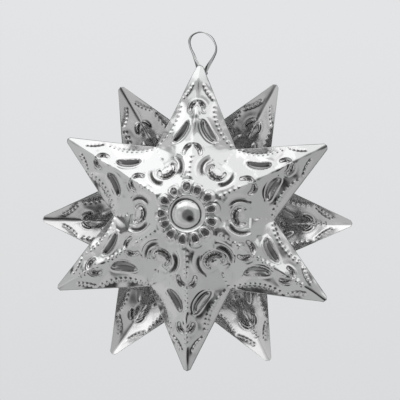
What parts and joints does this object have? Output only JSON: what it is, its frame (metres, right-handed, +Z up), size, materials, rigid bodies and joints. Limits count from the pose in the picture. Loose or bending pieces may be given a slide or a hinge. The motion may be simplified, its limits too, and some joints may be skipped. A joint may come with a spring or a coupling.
{
  "type": "hanging tin star ornament",
  "caption": "Embossed tin star ornament: a pair of folded star shells set back to back and turned so that all their points show, with a twisted strip hanging loop.",
  "frame": {"origin": "the hanging point: the middle of the loop's top, on its inner side", "axes": "+Z up along the hanging line, away from the star's centre; the front star faces -Y and the back star +Y"},
  "size_m": [0.1291, 0.0434, 0.141],
  "materials": {
    "tinplate": "bright polished tinplate with hand-punched relief, fine scratches and soft tarnish in the hollows",
    "solder": "dull grey soft solder with a rippled, frosted skin"
  },
  "bodies": {
    "root": {"front_star": "tinplate", "back_star": "tinplate", "hanging_loop": "tinplate", "loop_solder": "solder", "solder_joint_1": "solder", "solder_joint_2": "solder", "solder_joint_3": "solder", "solder_joint_4": "solder", "solder_joint_5": "solder", "solder_joint_6": "solder", "solder_joint_7": "solder", "solder_joint_8": "solder", "solder_joint_9": "solder", "solder_joint_10": "solder", "solder_joint_11": "solder", "solder_joint_12": "solder"}
  },
  "joints": []
}
